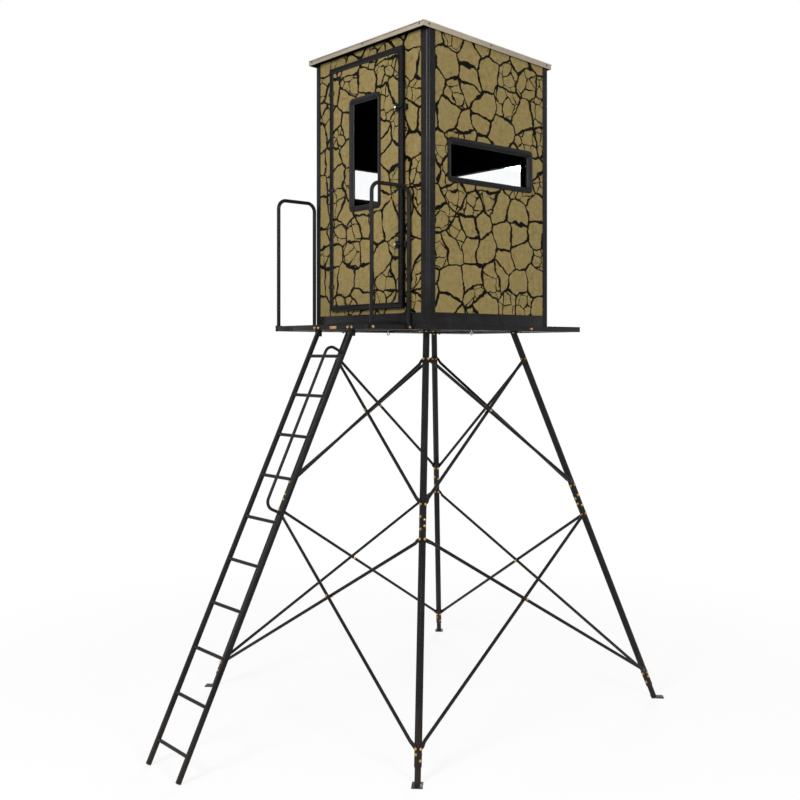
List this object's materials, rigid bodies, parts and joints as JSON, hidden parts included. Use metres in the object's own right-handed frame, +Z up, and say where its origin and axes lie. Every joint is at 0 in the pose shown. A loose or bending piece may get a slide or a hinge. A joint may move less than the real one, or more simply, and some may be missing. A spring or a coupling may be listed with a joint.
{
  "type": "elevated hunting blind",
  "caption": "Square hunting cabin with glazed windows and a hinged door, on a braced four-legged steel tower with a ladder and a small railed landing.",
  "frame": {"origin": "on the ground, at the middle of the rectangle of the four ground anchor holes", "axes": "+Z up; -Y out of the wall with the door, where the ladder comes up; +X to the right of someone who faces that door"},
  "size_m": [2.759, 3.8949, 5.291],
  "materials": {
    "steel": "dark charcoal powder coat, satin",
    "zinc_steel": "yellow zinc plate",
    "floor_board": "dark coated board",
    "camouflage_panel": "matt printed sheet, cracked-earth pattern",
    "window_frame": "black, fine grain",
    "window_glass": "clear, slightly tinted",
    "roof_sheet": "tan coated sheet",
    "latch": "black with a bright knob"
  },
  "bodies": {
    "tower": {"upper_leg_front_right": "steel", "upper_leg_rear_right": "steel", "upper_leg_rear_left": "steel", "upper_leg_front_left": "steel", "lower_leg_front_right": "steel", "lower_leg_rear_right": "steel", "lower_leg_rear_left": "steel", "lower_leg_front_left": "steel", "feet": "steel", "braces_right": "steel", "braces_rear": "steel", "braces_left": "steel", "braces_front": "steel", "long_beams": "steel", "cross_beams": "steel", "deck_plates": "steel", "ladder_stiles": "steel", "ladder_rungs": "steel", "ladder_brackets": "steel", "ladder_handrail": "steel", "landing_rail_left": "steel", "landing_rail_right": "steel", "corner_posts": "steel", "base_trim": "steel", "door_jamb": "steel", "wall_hinges": "steel", "latch_keepers": "steel", "eye_bolts": "zinc_steel", "cabin_floor": "floor_board", "front_wall_sides": "camouflage_panel", "front_wall_header": "camouflage_panel", "front_wall_sill": "camouflage_panel", "left_wall": "camouflage_panel", "right_wall": "camouflage_panel", "rear_wall": "camouflage_panel", "wall_window_frames": "window_frame", "wall_window_glass": "window_glass", "roof_panel": "roof_sheet", "side_fascia": "roof_sheet", "end_fascia": "roof_sheet"},
    "door": {"door_panel": "camouflage_panel", "door_frame": "steel", "door_window_frame": "window_frame", "door_glass": "window_glass", "door_hinges": "steel", "door_latches": "latch"}
  },
  "joints": [
    {"name": "door_swing", "type": "hinge", "parent": "tower", "child": "door", "pos_m": [-0.465, -0.6972, 4.17], "axis": [0, 0, -1], "range_deg": [0, 95]}
  ]
}
